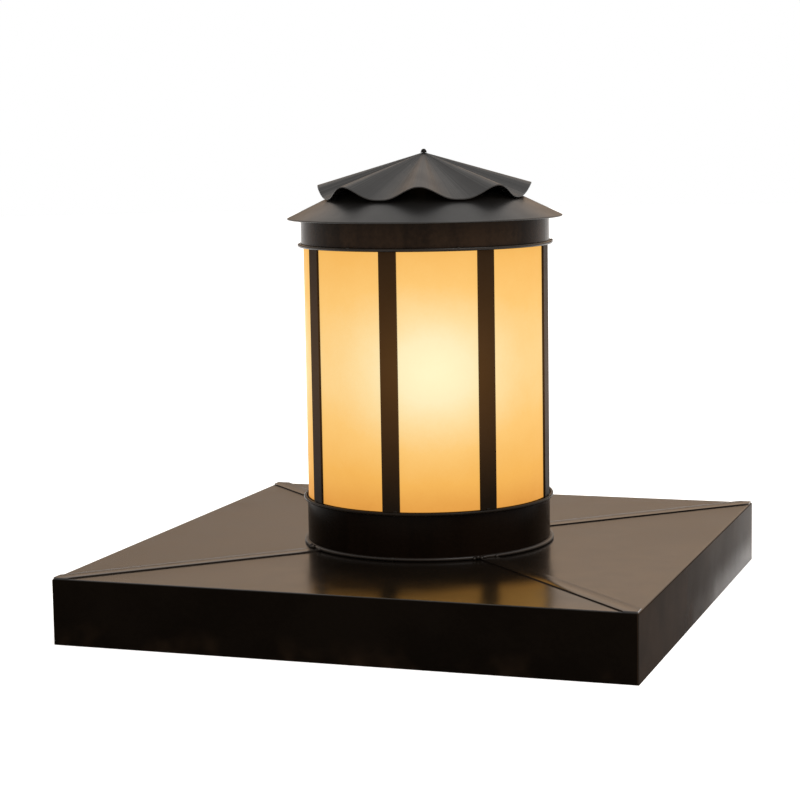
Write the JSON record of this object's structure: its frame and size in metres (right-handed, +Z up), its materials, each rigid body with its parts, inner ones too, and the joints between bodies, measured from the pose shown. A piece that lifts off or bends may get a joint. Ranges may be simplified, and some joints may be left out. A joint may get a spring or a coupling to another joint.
{
  "type": "pier mount light",
  "caption": "Outdoor pier light: a flat square sheet-metal pier cap with a round barred lantern, an amber diffuser, a conical roof and a fluted vent cap.",
  "frame": {"origin": "centre of the cap's square footprint, level with the skirt's lower edge", "axes": "+Z up along the lantern's axis; +Y to the rear, so the front skirt faces -Y"},
  "size_m": [0.762, 0.762, 0.6199],
  "materials": {
    "body_paint": "semi-gloss dark bronze, nearly black",
    "roof_paint": "satin dark bronze",
    "inner_paint": "satin dark bronze",
    "plated_steel": "zinc plated",
    "ground_green": "green dyed zinc",
    "brass_parts": "bright drawn brass",
    "porcelain": "glazed white",
    "bulb_cap_metal": "rolled thread",
    "bulb_glass": "frosted",
    "amber_diffuser": "translucent amber sheet, satin face"
  },
  "bodies": {
    "lantern": {"front_panel": "body_paint", "right_panel": "body_paint", "rear_panel": "body_paint", "left_panel": "body_paint", "front_right_hip": "body_paint", "rear_right_hip": "body_paint", "rear_left_hip": "body_paint", "front_left_hip": "body_paint", "bar_1": "body_paint", "bar_2": "body_paint", "bar_3": "body_paint", "bar_4": "body_paint", "bar_5": "body_paint", "bar_6": "body_paint", "bar_7": "body_paint", "bar_8": "body_paint", "base_band": "body_paint", "base_bead": "body_paint", "rim_bead": "body_paint", "top_band": "body_paint", "top_bead": "body_paint", "base_plate": "inner_paint", "diffuser_rests": "inner_paint", "diffuser_keepers": "inner_paint", "rod_strap": "inner_paint", "cluster_hub": "inner_paint", "hub_cover": "inner_paint", "base_studs": "plated_steel", "base_nuts": "plated_steel", "roof_rod": "plated_steel", "rod_nuts": "plated_steel", "stem": "plated_steel", "stem_washers": "plated_steel", "stem_locknuts": "plated_steel", "cover_screws": "plated_steel", "holder_nipples": "plated_steel", "ground_screw": "ground_green", "holder_contacts": "brass_parts", "screw_shell_1": "brass_parts", "screw_shell_2": "brass_parts", "screw_shell_3": "brass_parts", "lampholder_1": "porcelain", "lampholder_2": "porcelain", "lampholder_3": "porcelain", "diffuser": "amber_diffuser"},
    "roof": {"roof": "roof_paint", "roof_locating_ring": "inner_paint"},
    "vent_cap": {"fluted_cap": "roof_paint", "cap_washer": "roof_paint"},
    "cap_nut": {"cap_nut": "roof_paint"},
    "lamp_1": {"bulb_base_1": "bulb_cap_metal", "bulb_glass_1": "bulb_glass"},
    "lamp_2": {"bulb_base_2": "bulb_cap_metal", "bulb_glass_2": "bulb_glass"},
    "lamp_3": {"bulb_base_3": "bulb_cap_metal", "bulb_glass_3": "bulb_glass"}
  },
  "joints": [
    {"name": "roof_lift", "type": "slide", "parent": "lantern", "child": "roof", "axis": [0, 0, 1], "range_m": [0, 0.16]},
    {"name": "vent_cap_lift", "type": "slide", "parent": "roof", "child": "vent_cap", "axis": [0, 0, 1], "range_m": [0, 0.06]},
    {"name": "cap_nut_turn", "type": "hinge", "parent": "vent_cap", "child": "cap_nut", "pos_m": [0, 0, 0.615], "axis": [0, 0, 1], "range_deg": [0, 1440]},
    {"name": "lamp_1_draw", "type": "slide", "parent": "lantern", "child": "lamp_1", "axis": [0.2152, 0.2658, 0.9397], "range_m": [0, 0.034]},
    {"name": "lamp_2_draw", "type": "slide", "parent": "lantern", "child": "lamp_2", "axis": [-0.3378, 0.0535, 0.9397], "range_m": [0, 0.034]},
    {"name": "lamp_3_draw", "type": "slide", "parent": "lantern", "child": "lamp_3", "axis": [0.1226, -0.3193, 0.9397], "range_m": [0, 0.034]}
  ]
}
